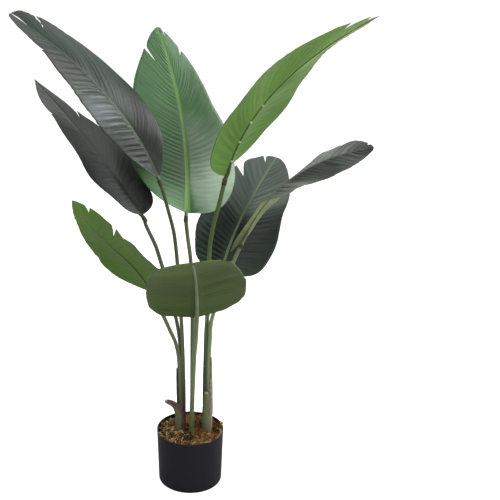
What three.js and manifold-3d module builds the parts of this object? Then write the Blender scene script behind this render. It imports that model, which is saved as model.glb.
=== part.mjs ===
// An artificial banana plant in a plain round pot, in millimetres.
// X runs to the viewer's right, Y away from the viewer and Z up.
// The origin is the middle of the pot's flat underside.
import * as THREE from "three";
import Module from "manifold-3d";

const wasm = await Module();
wasm.setup();

const GAP = 0.3;
const DEGREE = Math.PI / 180;

// Pot
const POT_HEIGHT = 140;
const POT_RIM_RADIUS = 83.5;
const POT_FOOT_RADIUS = 79.5;
const POT_WALL = 2.2;
const POT_FLOOR = 3;
const POT_SIDES = 48;

// Filling
const BLOCK_TOP = 116;
const BED_TOP = 130;
const BED_EDGE_DROP = 5;
const SOCKET_FLOOR = 90;

// Leaves
const THICKNESS_SHARE = 1 / 90;
const LEAST_THICKNESS = 3.4;
const BLADE_STATIONS = 20;
const ROWS_PER_HALF = 4;
const VEIN_BEND = 1.1;
const SWAY_SHARE = 10.4;
const LEAST_WIDTH = 2;
const LOBE_REACH = 0.14;
const TEAR_OVERRUN = 1.25;
const RIB_START = -0.02;
const RIB_END = 0.965;
const RIB_TIP_RADIUS = 2.6;
const RIB_SIDES = 7;
const RIB_STEPS = 10;
const COLLAR_RADIUS = 5.7;
const COLLAR_LENGTH = 11;

// Each leaf: where its rib starts and ends, its bow and its sway off the straight line between them, the
// way its upper side faces and the twist along the rib. Then, for the left and right half in turn, the half
// width, the outline, how far the veins sweep towards the tip, the share where the half begins, the trim
// that widens or narrows it from base to tip, and its fold and curl in degrees. A lobe hangs back beside
// the base as [share of length, millimetres aside]; from parting on the halves stand apart at the tip.
// Tears are [side, share of length, depth, opening]. A stalk runs from its foot through its path.
const LEAVES = {
  upper_left: {
    base: [-73, -10, 791], tip: [-396, 50, 1148], bow: [44, 2, 5],
    facing: [-75, 70], twist: [-6, 10], width: [102, 92],
    root: [0.62, 0.62], point: [0.42, 0.42], sweep: [[0.3, 0.2], [0.8, 1.1]],
    trim: [[0.75, 0.95, 1.05, 1, 0.95, 1.2], [0.6, 0.95, 0.95, 0.95, 1.05, 1.35]],
    parting: [0.9, 4, 7],
    fold: [[18, 14], [24, 4]], curl: [[-30, 0], [-34, -18]],
    tears: [[1, 0.8, 0.4, 0.005], [-1, 0.74, 0.88, 0.008]],
    colour: 0x474f4e,
    stalk: {
      foot: [-16, 22], path: [[-17, 22, 295], [-22, 20, 431], [-36, 6, 638], [-54, -3, 722]],
      endRadius: 4.2,
    },
  },
  middle_left: {
    base: [-113, 20, 692], tip: [-362, 90, 998], bow: [24, 7, -20],
    facing: [-50, 37], twist: [10, 0], width: [84, 80],
    root: [0.27, 0.42], point: [0.96, 0.96], sweep: [[0.28, 0.5], [0.5, 0.8]],
    trim: [[1.1, 0.9, 1.05, 0.95, 1, 1.35], [1.15, 0.72, 1, 1.05, 1.05, 0.8]],
    fold: [[40, -8], [34, -8]], curl: [[-28, -16], [-28, -16]],
    tears: [[1, 0.625, 0.55, 0.008]],
    colour: 0x424848,
    stalk: {
      foot: [-26, 33], path: [[-24, 33, 333], [-35, 32, 425], [-79, 26, 604], [-104, 22, 666]],
      endRadius: 4.4,
    },
  },
  centre_back: {
    base: [-9, 60, 685], tip: [-79, 190, 1106], bow: [26, 40, -12],
    facing: [-74, 16], twist: [3, 14], width: [128, 120],
    root: [0.42, 0.32], point: [0.6, 0.6], sweep: [[0.8, 1.2], [0.5, 0.8]],
    trim: [[1.3, 1.2, 1.1, 1, 1.02, 0.92], [1.05, 1.05, 1, 0.84, 0.82, 0.6]],
    fold: [[24, -8], [24, -14]], curl: [[-22, -15], [-20, -20]],
    tears: [[-1, 0.73, 0.52, 0.012], [1, 0.69, 0.88, 0.01], [1, 0.84, 0.9, 0.008]],
    colour: 0x5c8a62,
    stalk: {
      foot: [4, 2], path: [[5, 14, 433], [1, 36, 572], [-7, 50, 635]],
      endRadius: 4.4,
    },
  },
  upper_right: {
    base: [81, -20, 796], tip: [394, -90, 1157], bow: [-51, 6, 19],
    facing: [132, 30], twist: [6, 2], width: [100, 100],
    root: [0.5, 0.6], point: [1.05, 1.05], sweep: [[0.7, 0.7], [0.7, 0.9]], begin: [0.06, 0],
    trim: [[0.92, 0.92, 1.03, 0.85, 0.5, 0.95], [1.25, 1.05, 0.89, 1.03, 0.95, 1.2]],
    fold: [[18, 11], [16, 12]], curl: [[-38, -20], [-34, -22]],
    tears: [[1, 0.735, 0.57, 0.006], [1, 0.88, 0.33, 0.006]],
    colour: 0x4f7a37,
    stalk: {
      foot: [41, 21], path: [[41, 21, 304], [41, 18, 431], [46, 4, 612], [54, -4, 674], [68, -12, 733]],
      endRadius: 5,
    },
  },
  low_right: {
    base: [123, 0, 635], tip: [407, -40, 866], bow: [-37, -13, 43],
    facing: [-91, 75], twist: [-65, -62, -37, -10, 26], width: [60, 80],
    root: [0.5, 0.5], point: [0.62, 0.62], sweep: [[0.5, 0.5], [0.4, 0.6]],
    trim: [[1.05, 1.05, 1.2, 0.55, 1.2, 1.4], [0.1, 0.3, 0.8, 0.82, 0.9, 0.7]],
    lobe: [[0, 0], [0.06, 26]],
    fold: [[23, 8, -7], [-4, -24, -13]], curl: [[12, 4, -6], [-14, -15, -6]],
    tears: [[-1, 0.72, 0.85, 0.008]],
    colour: 0x4a524c,
    stalk: {
      foot: [46, 8], path: [[46, 8, 310], [48, 7, 370], [53, 6, 437], [103, 2, 585]],
      endRadius: 4.6,
    },
  },
  back_right: {
    base: [77, 60, 535], tip: [217, 220, 784], bow: [-22, -18, -8],
    facing: [-115, 40], twist: [6, -6], width: [106, 110],
    root: [0.39, 0.25], point: [0.5, 0.5], sweep: [[0.6, 1], [0.5, 0.9]],
    trim: [[1, 0.93, 1, 1.05, 1.32, 1.4], [1.05, 0.92, 1, 1, 1.15, 1.12]],
    lobe: [[0, 0], [0.012, 0]],
    fold: [[17, 0], [13, 4]], curl: [[-27, -9], [-27, -9]],
    tears: [[-1, 0.69, 0.62, 0.026], [-1, 0.889, 0.59, 0.012]],
    colour: 0x3c4443,
    stalk: {
      foot: [36, 33], path: [[38, 34, 333], [42, 42, 421], [58, 50, 474]],
      endRadius: 4.6,
    },
  },
  low_left: {
    base: [-95, -60, 532], tip: [-245, -190, 787], bow: [8, -14, -1], sway: [7, 0, 4],
    facing: [60, 60], twist: [0, 0], width: [86, 92],
    root: [0.47, 0.47], point: [0.8, 0.8], sweep: [[0.4, 0.6], [0.4, 0.6]],
    trim: [[1, 1.05, 1, 1.2, 1.6, 1.7], [1.1, 1.1, 1.1, 1.05, 0.9, 0.75]],
    fold: [[9, 8], [9, 9]], curl: [[-20, -15], [-24, -13]],
    tears: [[-1, 0.59, 0.48, 0.013], [-1, 0.8, 0.68, 0.012], [1, 0.675, 0.88, 0.006]],
    colour: 0x4c7a2c,
    stalk: {
      foot: [-27, 12], path: [[-27, 8, 310], [-34, -2, 369], [-49, -16, 415], [-65, -30, 460]],
      endRadius: 4.4,
    },
  },
  front: {
    base: [14.5, -130, 495.5], tip: [4, -440, 738], bow: [3, 17, 10],
    facing: [96, 50], twist: [3, 2], width: [104, 104],
    root: [0.15, 0.15], point: [0.25, 0.25], sweep: [[0.4, 0.3], [0.4, 0.3]],
    trim: [[0.9, 1.05, 1, 0.95, 0.95, 1.3], [0.95, 1.05, 1, 0.95, 1, 1.15]],
    fold: [[14, 1], [14, 0]], curl: [[-15, -8], [-15, -8]],
    tears: [[1, 0.85, 0.75, 0.012], [-1, 0.85, 0.75, 0.012]],
    colour: 0x4d5c2a,
    stalk: {
      foot: [3, -20], path: [[5, -36, 240], [9, -72, 370], [12, -96, 425]],
      footRadius: 4.8, endRadius: 5.8,
    },
  },
};

const STALK_FOOT_RADIUS = 5;
const STALK_SIDES = 9;
const STALK_STATIONS = 24;

// Vectors
const vector = (x, y, z) => new THREE.Vector3(x, y, z);
const from = (list) => new THREE.Vector3(...list);
const mix = (a, b, share) => a + (b - a) * share;
const held = (value, low, high) => Math.min(Math.max(value, low), high);

function smoothStep(low, high, value) {
  const part = held((value - low) / (high - low), 0, 1);
  return part * part * (3 - 2 * part);
}

// A value along the length, given as evenly spaced values joined by smooth steps.
function along(values, share) {
  const last = values.length - 1;
  const place = held(share, 0, 1) * last;
  const step = Math.min(Math.floor(place), last - 1);
  const part = place - step;
  const eased = last === 1 ? part : part * part * (3 - 2 * part);
  return mix(values[step], values[step + 1], eased);
}

// The rib at a share of its length: the point, its direction and the two directions across it.
function ribAt(leaf, share) {
  const base = from(leaf.base);
  const line = from(leaf.tip).sub(base);
  const bow = from(leaf.bow);
  const sway = from(leaf.sway ?? [0, 0, 0]).multiplyScalar(SWAY_SHARE);
  const point = base.clone().addScaledVector(line, share).addScaledVector(bow, 4 * share * (1 - share));
  point.addScaledVector(sway, share * (1 - share) * (1 - 2 * share));
  const ahead = line.clone().addScaledVector(bow, 4 * (1 - 2 * share));
  ahead.addScaledVector(sway, 1 - 6 * share + 6 * share ** 2).normalize();
  const turn = leaf.facing[0] * DEGREE;
  const rise = leaf.facing[1] * DEGREE;
  const facing = vector(Math.cos(rise) * Math.cos(turn), Math.cos(rise) * Math.sin(turn), Math.sin(rise));
  const up = facing.addScaledVector(ahead, -facing.dot(ahead)).normalize();
  const right = ahead.clone().cross(up);
  const twist = along(leaf.twist, share) * DEGREE;
  const upTurned = up.clone().multiplyScalar(Math.cos(twist)).addScaledVector(right, Math.sin(twist));
  const rightTurned = right.clone().multiplyScalar(Math.cos(twist)).addScaledVector(up, -Math.sin(twist));
  return { point, ahead, up: upTurned, right: rightTurned };
}

// How wide a half is at a share of its length: 0 at both ends and 1 at its widest, times its trim.
function outline(leaf, share, half) {
  const root = leaf.root[half];
  const point = leaf.point[half];
  const peak = root / (root + point);
  const top = peak ** root * (1 - peak) ** point;
  const first = leaf.begin?.[half] ?? 0;
  const place = held((share - first) / (1 - first), 0, 1);
  return ((place ** root * (1 - place) ** point) / top) * along(leaf.trim[half], place);
}

// A point of the blade: start is where its vein leaves the rib, reach runs from the rib to the margin.
function bladePoint(leaf, start, reach, side) {
  const half = side < 0 ? 0 : 1;
  const marginShare = 1 - (1 - start) ** (1 + along(leaf.sweep[half], start));
  const width = leaf.width[half];
  const least = marginShare < 0.5 ? LEAST_WIDTH : 0;
  const [back, aside] = leaf.lobe?.[half] ?? [0, 0];
  const nearBase = (1 - smoothStep(0, LOBE_REACH, start)) * reach;
  const across = Math.max(width * outline(leaf, marginShare, half), least) * reach + aside * nearBase;
  const share = start + (marginShare - start) * reach ** VEIN_BEND - back * nearBase;
  const fold = along(leaf.fold[half], share) * DEGREE;
  const curl = along(leaf.curl[half], share) * DEGREE + 1e-6;
  const outward = (width / curl) * (Math.sin(fold + (curl * across) / width) - Math.sin(fold));
  const lift = (-width / curl) * (Math.cos(fold + (curl * across) / width) - Math.cos(fold));
  const rib = ribAt(leaf, share);
  return rib.point.addScaledVector(rib.right, side * outward).addScaledVector(rib.up, lift);
}

function bladeNormal(leaf, start, reach, side) {
  const little = 0.01;
  const a = held(start, 0.02, 0.98);
  const b = held(reach, 0.03, 0.97);
  const alongIt = bladePoint(leaf, a + little, b, side).sub(bladePoint(leaf, a - little, b, side));
  const acrossIt = bladePoint(leaf, a, b + little, side).sub(bladePoint(leaf, a, b - little, side));
  return acrossIt.multiplyScalar(side).cross(alongIt).normalize();
}

// A closed solid from corner points and faces; equal points are joined and empty faces dropped.
function closedSolid(points, faces) {
  const places = new Map();
  const corners = [];
  const joined = points.map((p) => {
    const key = [p.x, p.y, p.z].map((c) => Math.round(c * 1000)).join(",");
    if (!places.has(key)) {
      places.set(key, corners.length / 3);
      corners.push(p.x, p.y, p.z);
    }
    return places.get(key);
  });
  const kept = faces
    .map((face) => face.map((corner) => joined[corner]))
    .filter(([a, b, c]) => a !== b && b !== c && a !== c);
  const solid = new wasm.Manifold(
    new wasm.Mesh({
      numProp: 3,
      vertProperties: new Float32Array(corners),
      triVerts: new Uint32Array(kept.flat()),
    }),
  );
  if (solid.volume() > 0) return solid;
  return closedSolid(points, faces.map(([a, b, c]) => [a, c, b]));
}

// A thin solid on both sides of a sheet given as rows of points with their normals.
function thickSheet(rows, thickness) {
  const count = rows.length;
  const across = rows[0].length;
  const points = [];
  for (const offset of [thickness / 2, -thickness / 2])
    for (const row of rows)
      for (const { point, normal } of row) points.push(point.clone().addScaledVector(normal, offset));
  const top = (i, j) => i * across + j;
  const under = (i, j) => count * across + i * across + j;
  const faces = [];
  const quad = (a, b, c, d) => faces.push([a, b, c], [a, c, d]);
  for (let i = 0; i + 1 < count; i++) {
    for (let j = 0; j + 1 < across; j++) {
      quad(top(i, j), top(i, j + 1), top(i + 1, j + 1), top(i + 1, j));
      quad(under(i, j), under(i + 1, j), under(i + 1, j + 1), under(i, j + 1));
    }
    quad(top(i, 0), top(i + 1, 0), under(i + 1, 0), under(i, 0));
    quad(top(i + 1, across - 1), top(i, across - 1), under(i, across - 1), under(i + 1, across - 1));
  }
  for (let j = 0; j + 1 < across; j++) {
    quad(top(0, j + 1), top(0, j), under(0, j), under(0, j + 1));
    quad(top(count - 1, j), top(count - 1, j + 1), under(count - 1, j + 1), under(count - 1, j));
  }
  return closedSolid(points, faces);
}

// A solid rod through centres, each with a radius across and a radius in depth, closed by flat ends.
function rod(stations, sides, reference) {
  const points = [];
  let side = null;
  stations.forEach((station, i) => {
    const before = stations[Math.max(i - 1, 0)].centre;
    const after = stations[Math.min(i + 1, stations.length - 1)].centre;
    const ahead = station.ahead ?? after.clone().sub(before).normalize();
    side = (side ?? reference).clone();
    side.addScaledVector(ahead, -side.dot(ahead)).normalize();
    const other = ahead.clone().cross(side);
    for (let k = 0; k < sides; k++) {
      const angle = (2 * Math.PI * k) / sides;
      points.push(
        station.centre
          .clone()
          .addScaledVector(side, Math.cos(angle) * station.radius)
          .addScaledVector(other, Math.sin(angle) * (station.depth ?? station.radius)),
      );
    }
  });
  const faces = [];
  const last = stations.length - 1;
  for (let i = 0; i < last; i++)
    for (let k = 0; k < sides; k++) {
      const next = (k + 1) % sides;
      faces.push([i * sides + k, i * sides + next, (i + 1) * sides + next]);
      faces.push([i * sides + k, (i + 1) * sides + next, (i + 1) * sides + k]);
    }
  for (let k = 1; k + 1 < sides; k++) {
    faces.push([0, k + 1, k]);
    faces.push([last * sides, last * sides + k, last * sides + k + 1]);
  }
  return closedSolid(points, faces);
}

// A solid turned about the upright axis from a profile of [radius, height] that starts and ends on it.
function turned(profile, sides) {
  const lathe = new THREE.LatheGeometry(
    profile.map(([radius, height]) => new THREE.Vector2(radius, height)),
    sides,
  ).rotateX(Math.PI / 2);
  const place = lathe.getAttribute("position");
  const points = [];
  for (let i = 0; i < place.count; i++) points.push(vector(place.getX(i), place.getY(i), place.getZ(i)));
  const faces = [];
  const index = lathe.index.array;
  for (let i = 0; i < index.length; i += 3) faces.push([index[i], index[i + 1], index[i + 2]]);
  return closedSolid(points, faces);
}

function leafLength(leaf) {
  return from(leaf.tip).distanceTo(from(leaf.base));
}

function leafSolid(leaf) {
  const thickness = Math.max(leafLength(leaf) * THICKNESS_SHARE, LEAST_THICKNESS);
  const rows = [];
  for (let i = 0; i <= BLADE_STATIONS; i++) {
    const start = (1 - Math.cos((Math.PI * i) / BLADE_STATIONS)) / 2;
    const row = [];
    for (let j = -ROWS_PER_HALF; j <= ROWS_PER_HALF; j++) {
      const side = j < 0 ? -1 : 1;
      const reach = Math.abs(j) / ROWS_PER_HALF;
      const closed = i === 0 || i === BLADE_STATIONS;
      const normal = j === 0 || closed ? ribAt(leaf, start).up : bladeNormal(leaf, start, reach, side);
      row.push({ point: bladePoint(leaf, start, reach, side), normal });
    }
    rows.push(row);
  }
  let solid = thickSheet(rows, thickness);
  for (const [side, start, depth, opening] of leaf.tears)
    solid = solid.subtract(tearWedge(leaf, side, start, depth, opening));
  if (leaf.parting) solid = solid.subtract(partingWedge(leaf));
  return solid.add(ribSolid(leaf));
}

// A flat wedge from three corners, cut well through a blade on both sides of it.
function wedge(corners, normal) {
  const points = [12, -12].flatMap((lift) => corners.map((c) => c.clone().addScaledVector(normal, lift)));
  const faces = [[0, 1, 2], [3, 5, 4], [0, 3, 4], [0, 4, 1], [1, 4, 5], [1, 5, 2], [2, 5, 3], [2, 3, 0]];
  return closedSolid(points, faces);
}

// The wedge that opens a tear from the margin towards the rib, along a vein.
function tearWedge(leaf, side, start, depth, opening) {
  const inner = bladePoint(leaf, start, depth, side);
  const outer = bladePoint(leaf, start, 1, side);
  const reach = outer.clone().sub(inner).multiplyScalar(TEAR_OVERRUN);
  const normal = bladeNormal(leaf, start, (1 + depth) / 2, side);
  const halfOpening = opening * leafLength(leaf) * TEAR_OVERRUN;
  const spread = normal.clone().cross(reach).normalize().multiplyScalar(halfOpening);
  const end = inner.clone().add(reach);
  return wedge([inner, end.clone().add(spread), end.clone().sub(spread)], normal);
}

// The wedge that parts the two halves at the tip.
function partingWedge(leaf) {
  const [share, left, right] = leaf.parting;
  const inner = ribAt(leaf, share).point;
  const rib = ribAt(leaf, 1);
  const end = inner.clone().add(rib.point.clone().sub(inner).multiplyScalar(TEAR_OVERRUN));
  const rightEnd = end.clone().addScaledVector(rib.right, right);
  const leftEnd = end.clone().addScaledVector(rib.right, -left);
  return wedge([inner, rightEnd, leftEnd], rib.up);
}

function ribStation(leaf, share) {
  const rib = ribAt(leaf, share);
  const sink = 2 * held((share + 0.01) / 0.15, 0, 1);
  return {
    centre: rib.point.clone().addScaledVector(rib.up, -sink),
    radius: mix(leaf.stalk.endRadius, RIB_TIP_RADIUS, Math.max(share, 0) ** 0.7),
    ahead: rib.ahead,
    side: rib.right,
  };
}

function ribSolid(leaf) {
  const stations = [];
  const end = leaf.parting?.[0] ?? RIB_END;
  for (let i = 0; i <= RIB_STEPS; i++) stations.push(ribStation(leaf, mix(RIB_START, end, i / RIB_STEPS)));
  return rod(stations, RIB_SIDES, stations[0].side);
}

// The centre of a stalk at a share of the way from its foot to the leaf: a smooth line through its path
// that is upright at the foot and runs along the rib at its end.
function stalkPoint(leaf, share) {
  const end = ribStation(leaf, RIB_START);
  const top = end.centre.clone().addScaledVector(end.ahead, -GAP);
  const knots = [vector(...leaf.stalk.foot, BED_TOP + 1), ...leaf.stalk.path.map(from), top];
  const last = knots.length - 1;
  const places = [0];
  for (let i = 1; i <= last; i++) places.push(places[i - 1] + knots[i].distanceTo(knots[i - 1]));
  const slopeAt = (i) => {
    if (i === 0) return vector(0, 0, 1);
    if (i === last) return end.ahead.clone();
    return knots[i + 1].clone().sub(knots[i - 1]).divideScalar(places[i + 1] - places[i - 1]);
  };
  const place = held(share, 0, 1) * places[last];
  let step = 0;
  while (step < last - 1 && places[step + 1] <= place) step += 1;
  const span = places[step + 1] - places[step];
  const t = (place - places[step]) / span;
  return knots[step]
    .clone()
    .multiplyScalar((1 + 2 * t) * (1 - t) ** 2)
    .addScaledVector(slopeAt(step), span * t * (1 - t) ** 2)
    .addScaledVector(knots[step + 1], t ** 2 * (3 - 2 * t))
    .addScaledVector(slopeAt(step + 1), span * t ** 2 * (t - 1));
}

function stalkRadius(leaf, share) {
  return mix(leaf.stalk.footRadius ?? STALK_FOOT_RADIUS, leaf.stalk.endRadius, share);
}

function stalkSolid(leaf) {
  const [x, y] = leaf.stalk.foot;
  const foot = stalkRadius(leaf, 0);
  const stations = [{ centre: vector(x, y, SOCKET_FLOOR + GAP), radius: foot, ahead: vector(0, 0, 1) }];
  for (let i = 0; i <= STALK_STATIONS; i++) {
    const share = i / STALK_STATIONS;
    stations.push({ centre: stalkPoint(leaf, share), radius: stalkRadius(leaf, share) });
  }
  const end = ribStation(leaf, RIB_START);
  stations[stations.length - 1].ahead = end.ahead;
  const top = stations[stations.length - 1].centre;
  const collarRadius = Math.max(COLLAR_RADIUS, end.radius + 0.8);
  const collar = [
    [-COLLAR_LENGTH, end.radius * 0.9],
    [-COLLAR_LENGTH + 2, collarRadius],
    [-2, collarRadius],
    [0, end.radius],
  ].map(([back, radius]) => {
    const centre = top.clone().addScaledVector(end.ahead, back);
    return { centre, radius, ahead: end.ahead };
  });
  return rod(stations, STALK_SIDES, vector(1, 0, 0)).add(rod(collar, STALK_SIDES, vector(1, 0, 0)));
}

// Dry sheaths at the foot of the stalks
const HOOKED_SHEATH = [
  { centre: [-24, -4, 90.3], radius: 13, depth: 7.5 },
  { centre: [-24, -4, 130], radius: 13, depth: 7.5 },
  { centre: [-25, -4, 158], radius: 12.4, depth: 7.5 },
  { centre: [-26, -4, 176], radius: 11.6, depth: 7.2 },
  { centre: [-29.5, -5, 192], radius: 10, depth: 6.8 },
  { centre: [-35, -6, 203], radius: 8.8, depth: 6.3 },
  { centre: [-42, -8, 211], radius: 7.8, depth: 5.6 },
  { centre: [-49, -9, 215.5], radius: 7.2, depth: 5.2 },
  { centre: [-56, -10, 218.5], radius: 6.4, depth: 4.8 },
  { centre: [-62, -11, 221], radius: 4, depth: 3.2 },
];
const BLUNT_SHEATH = [
  { centre: [41, -6, 90.3], radius: 11, depth: 7.5 },
  { centre: [41, -6, 130], radius: 11, depth: 7.5 },
  { centre: [41, -6, 165], radius: 9.8, depth: 7 },
  { centre: [41, -5, 200], radius: 7.8, depth: 6 },
  { centre: [40.5, -4, 228], radius: 5.4, depth: 4.6 },
  { centre: [40, -4, 241], radius: 4.2, depth: 3.6 },
  { centre: [40, -4, 244], radius: 3, depth: 2.6 },
];

function sheathRod(stations) {
  const made = stations.map(({ centre, radius, depth }) => ({ centre: from(centre), radius, depth }));
  made[0].ahead = vector(0, 0, 1);
  made[1].ahead = vector(0, 0, 1);
  return rod(made, 12, vector(1, 0, 0));
}

const CLASP_CLEARANCE = 0.9;
const CLASP_THICKNESS = 2.2;

// A tall sheath clasps one side of a stalk and narrows to a point.
function claspingSheath(leaf, topHeight, middleAngle, halfAngle) {
  const rows = [];
  const steps = 10;
  const heights = [];
  for (let i = 0; i <= steps; i++) heights.push(mix(SOCKET_FLOOR + GAP, topHeight, i / steps));
  for (const height of heights) {
    const rise = held((height - SOCKET_FLOOR) / (topHeight - SOCKET_FLOOR), 0, 1);
    const { centre, radius } = stalkAtHeight(leaf, height);
    const spread = halfAngle * (1 - rise ** 3 * 0.9);
    const row = [];
    for (let j = -2; j <= 2; j++) {
      const angle = (middleAngle + (spread * j) / 2) * DEGREE;
      const outward = vector(Math.cos(angle), Math.sin(angle), 0);
      const distance = radius + CLASP_CLEARANCE + CLASP_THICKNESS / 2;
      row.push({ point: centre.clone().addScaledVector(outward, distance), normal: outward });
    }
    rows.push(row);
  }
  return thickSheet(rows, CLASP_THICKNESS);
}

function stalkAtHeight(leaf, height) {
  const [x, y] = leaf.stalk.foot;
  if (height <= BED_TOP + 1) return { centre: vector(x, y, height), radius: stalkRadius(leaf, 0) };
  let low = 0;
  let high = 1;
  for (let i = 0; i < 30; i++) {
    const middle = (low + high) / 2;
    if (stalkPoint(leaf, middle).z < height) low = middle;
    else high = middle;
  }
  return { centre: stalkPoint(leaf, low).setZ(height), radius: stalkRadius(leaf, low) };
}

// Pot and filling
function potSolid() {
  const round = 3;
  const wallAt = (height) => mix(POT_FOOT_RADIUS, POT_RIM_RADIUS, height / POT_HEIGHT);
  const outer = [[0, 0], [POT_FOOT_RADIUS - round, 0]];
  for (const angle of [30, 60, 90])
    outer.push([
      POT_FOOT_RADIUS - round + round * Math.sin(angle * DEGREE),
      round - round * Math.cos(angle * DEGREE),
    ]);
  outer.push([POT_RIM_RADIUS, POT_HEIGHT - 0.6]);
  outer.push([POT_RIM_RADIUS - 0.6, POT_HEIGHT]);
  outer.push([POT_RIM_RADIUS - POT_WALL + 0.6, POT_HEIGHT]);
  outer.push([POT_RIM_RADIUS - POT_WALL, POT_HEIGHT - 0.6]);
  outer.push([wallAt(POT_FLOOR) - POT_WALL, POT_FLOOR]);
  outer.push([0, POT_FLOOR]);
  return turned(outer, POT_SIDES);
}

function insideRadius(height) {
  return mix(POT_FOOT_RADIUS, POT_RIM_RADIUS, height / POT_HEIGHT) - POT_WALL - 0.5;
}

function sockets(floor, extra) {
  const round = Object.values(LEAVES).map((leaf) => {
    const [x, y] = leaf.stalk.foot;
    const radius = stalkRadius(leaf, 0) + extra;
    return upright(x, y, radius, radius, floor, 160, 14);
  });
  const sheaths = [HOOKED_SHEATH, BLUNT_SHEATH].map(([{ centre, radius, depth }]) =>
    upright(centre[0], centre[1], radius + extra, depth + extra, floor, 160, 18),
  );
  const clasped = [LEAVES.low_left, LEAVES.low_right].map((leaf) => {
    const [x, y] = leaf.stalk.foot;
    const radius = stalkRadius(leaf, 0) + CLASP_CLEARANCE + CLASP_THICKNESS + extra;
    return upright(x, y, radius, radius, floor, 160, 16);
  });
  return [...round, ...sheaths, ...clasped];
}

function upright(x, y, radius, depth, bottom, top, sides) {
  const grown = 1 / Math.cos(Math.PI / sides);
  const stations = [bottom, top].map((height) => ({
    centre: vector(x, y, height),
    radius: radius * grown,
    depth: depth * grown,
    ahead: vector(0, 0, 1),
  }));
  return rod(stations, sides, vector(1, 0, 0));
}

function blockSolid() {
  const bottom = POT_FLOOR + GAP;
  let block = turned(
    [[0, bottom], [insideRadius(bottom), bottom], [insideRadius(BLOCK_TOP), BLOCK_TOP], [0, BLOCK_TOP]],
    POT_SIDES,
  );
  for (const socket of sockets(SOCKET_FLOOR, GAP)) block = block.subtract(socket);
  return block;
}

function bedSolid() {
  const bottom = BLOCK_TOP + GAP;
  const edge = BED_TOP - BED_EDGE_DROP;
  let bed = turned(
    [
      [0, bottom],
      [insideRadius(bottom), bottom],
      [insideRadius(edge), edge],
      [62, BED_TOP - 1.5],
      [34, BED_TOP],
      [0, BED_TOP],
    ],
    POT_SIDES,
  );
  for (const socket of sockets(bottom - 5, 0.6)) bed = bed.subtract(socket);
  return bed;
}

// Nodes
const group = new THREE.Group();

function addNode(name, solid, colour, roughness) {
  const mesh = solid.getMesh();
  const corners = [];
  const step = mesh.numProp;
  for (const corner of mesh.triVerts)
    corners.push(...mesh.vertProperties.subarray(corner * step, corner * step + 3));
  const geometry = new THREE.BufferGeometry();
  geometry.setAttribute("position", new THREE.Float32BufferAttribute(corners, 3));
  geometry.computeVertexNormals();
  const material = new THREE.MeshStandardMaterial({ color: colour, roughness, metalness: 0 });
  const node = new THREE.Mesh(geometry, material);
  node.name = name;
  group.add(node);
}

addNode("pot", potSolid(), 0x232328, 0.55);
addNode("growing_block", blockSolid(), 0x4a3b2a, 0.95);
addNode("fibre_bed", bedSolid(), 0x8a6232, 0.95);
for (const [name, leaf] of Object.entries(LEAVES)) {
  addNode("stalk_" + name, stalkSolid(leaf), 0x4f6238, 0.6);
  addNode("leaf_" + name, leafSolid(leaf), leaf.colour, 0.6);
}
addNode("sheath_hooked", sheathRod(HOOKED_SHEATH), 0x54423a, 0.7);
addNode("sheath_blunt", sheathRod(BLUNT_SHEATH), 0x63644a, 0.7);
addNode("sheath_tall_left", claspingSheath(LEAVES.low_left, 300, 185, 60), 0x3f3028, 0.7);
addNode("sheath_tall_right", claspingSheath(LEAVES.low_right, 330, -5, 55), 0x77675c, 0.7);

export default group;
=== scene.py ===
import math

import bpy
import numpy as np
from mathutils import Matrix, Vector


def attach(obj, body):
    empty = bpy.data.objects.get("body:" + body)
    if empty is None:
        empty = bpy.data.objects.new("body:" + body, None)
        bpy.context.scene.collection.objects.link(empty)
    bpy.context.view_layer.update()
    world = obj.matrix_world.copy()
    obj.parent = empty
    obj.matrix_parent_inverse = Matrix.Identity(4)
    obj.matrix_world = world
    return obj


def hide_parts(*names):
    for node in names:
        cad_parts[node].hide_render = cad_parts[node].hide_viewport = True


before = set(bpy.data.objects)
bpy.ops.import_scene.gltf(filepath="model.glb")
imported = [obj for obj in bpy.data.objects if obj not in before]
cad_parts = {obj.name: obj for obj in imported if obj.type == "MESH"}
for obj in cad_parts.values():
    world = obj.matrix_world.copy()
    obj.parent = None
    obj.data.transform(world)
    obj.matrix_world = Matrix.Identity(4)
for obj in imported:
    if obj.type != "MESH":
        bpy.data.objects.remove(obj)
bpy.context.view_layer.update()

MM = 0.001
GAP = 0.3

# Camera
CAMERA_PLACE = (0.0, -2.0, 1.296)
CAMERA_TILT = math.radians(71.13)
CAMERA_LENS = 64.8
CAMERA_SENSOR = 36
CAMERA_SHIFT = 0.1196

# Pot and filling
POT_HEIGHT = 140.0
RIM_RADIUS = 83.5
FOOT_RADIUS = 79.5
POT_WALL = 2.2
POT_FLOOR = 3.0
POT_SIDES = 160
FOOT_ROUNDING = 3
BED_TOP = 130.0
BED_FOOT = 117
BED_RADIUS = 80.3
BED_RINGS = 46
BED_SIDES = 120

# Leaf blades
COLUMNS = 236
ROWS = 22
BLADE_THICKNESS = 1.3
SWAY_SHARE = 10.4
LEAST_WIDTH = 2.0
LOBE_REACH = 0.14
NORMAL_STEP = 1e-3
UNDER_SHINE = 0.16

# Ribs and stalks
RIB_START = -0.02
RIB_END = 0.985
RIB_STEPS = 90
RIB_SIDES = 14
CLIP_SIDES = 12
STALK_STEPS = 110
STALK_SIDES = 20
BURIED_HEIGHTS = (112.0, 121.0)

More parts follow.
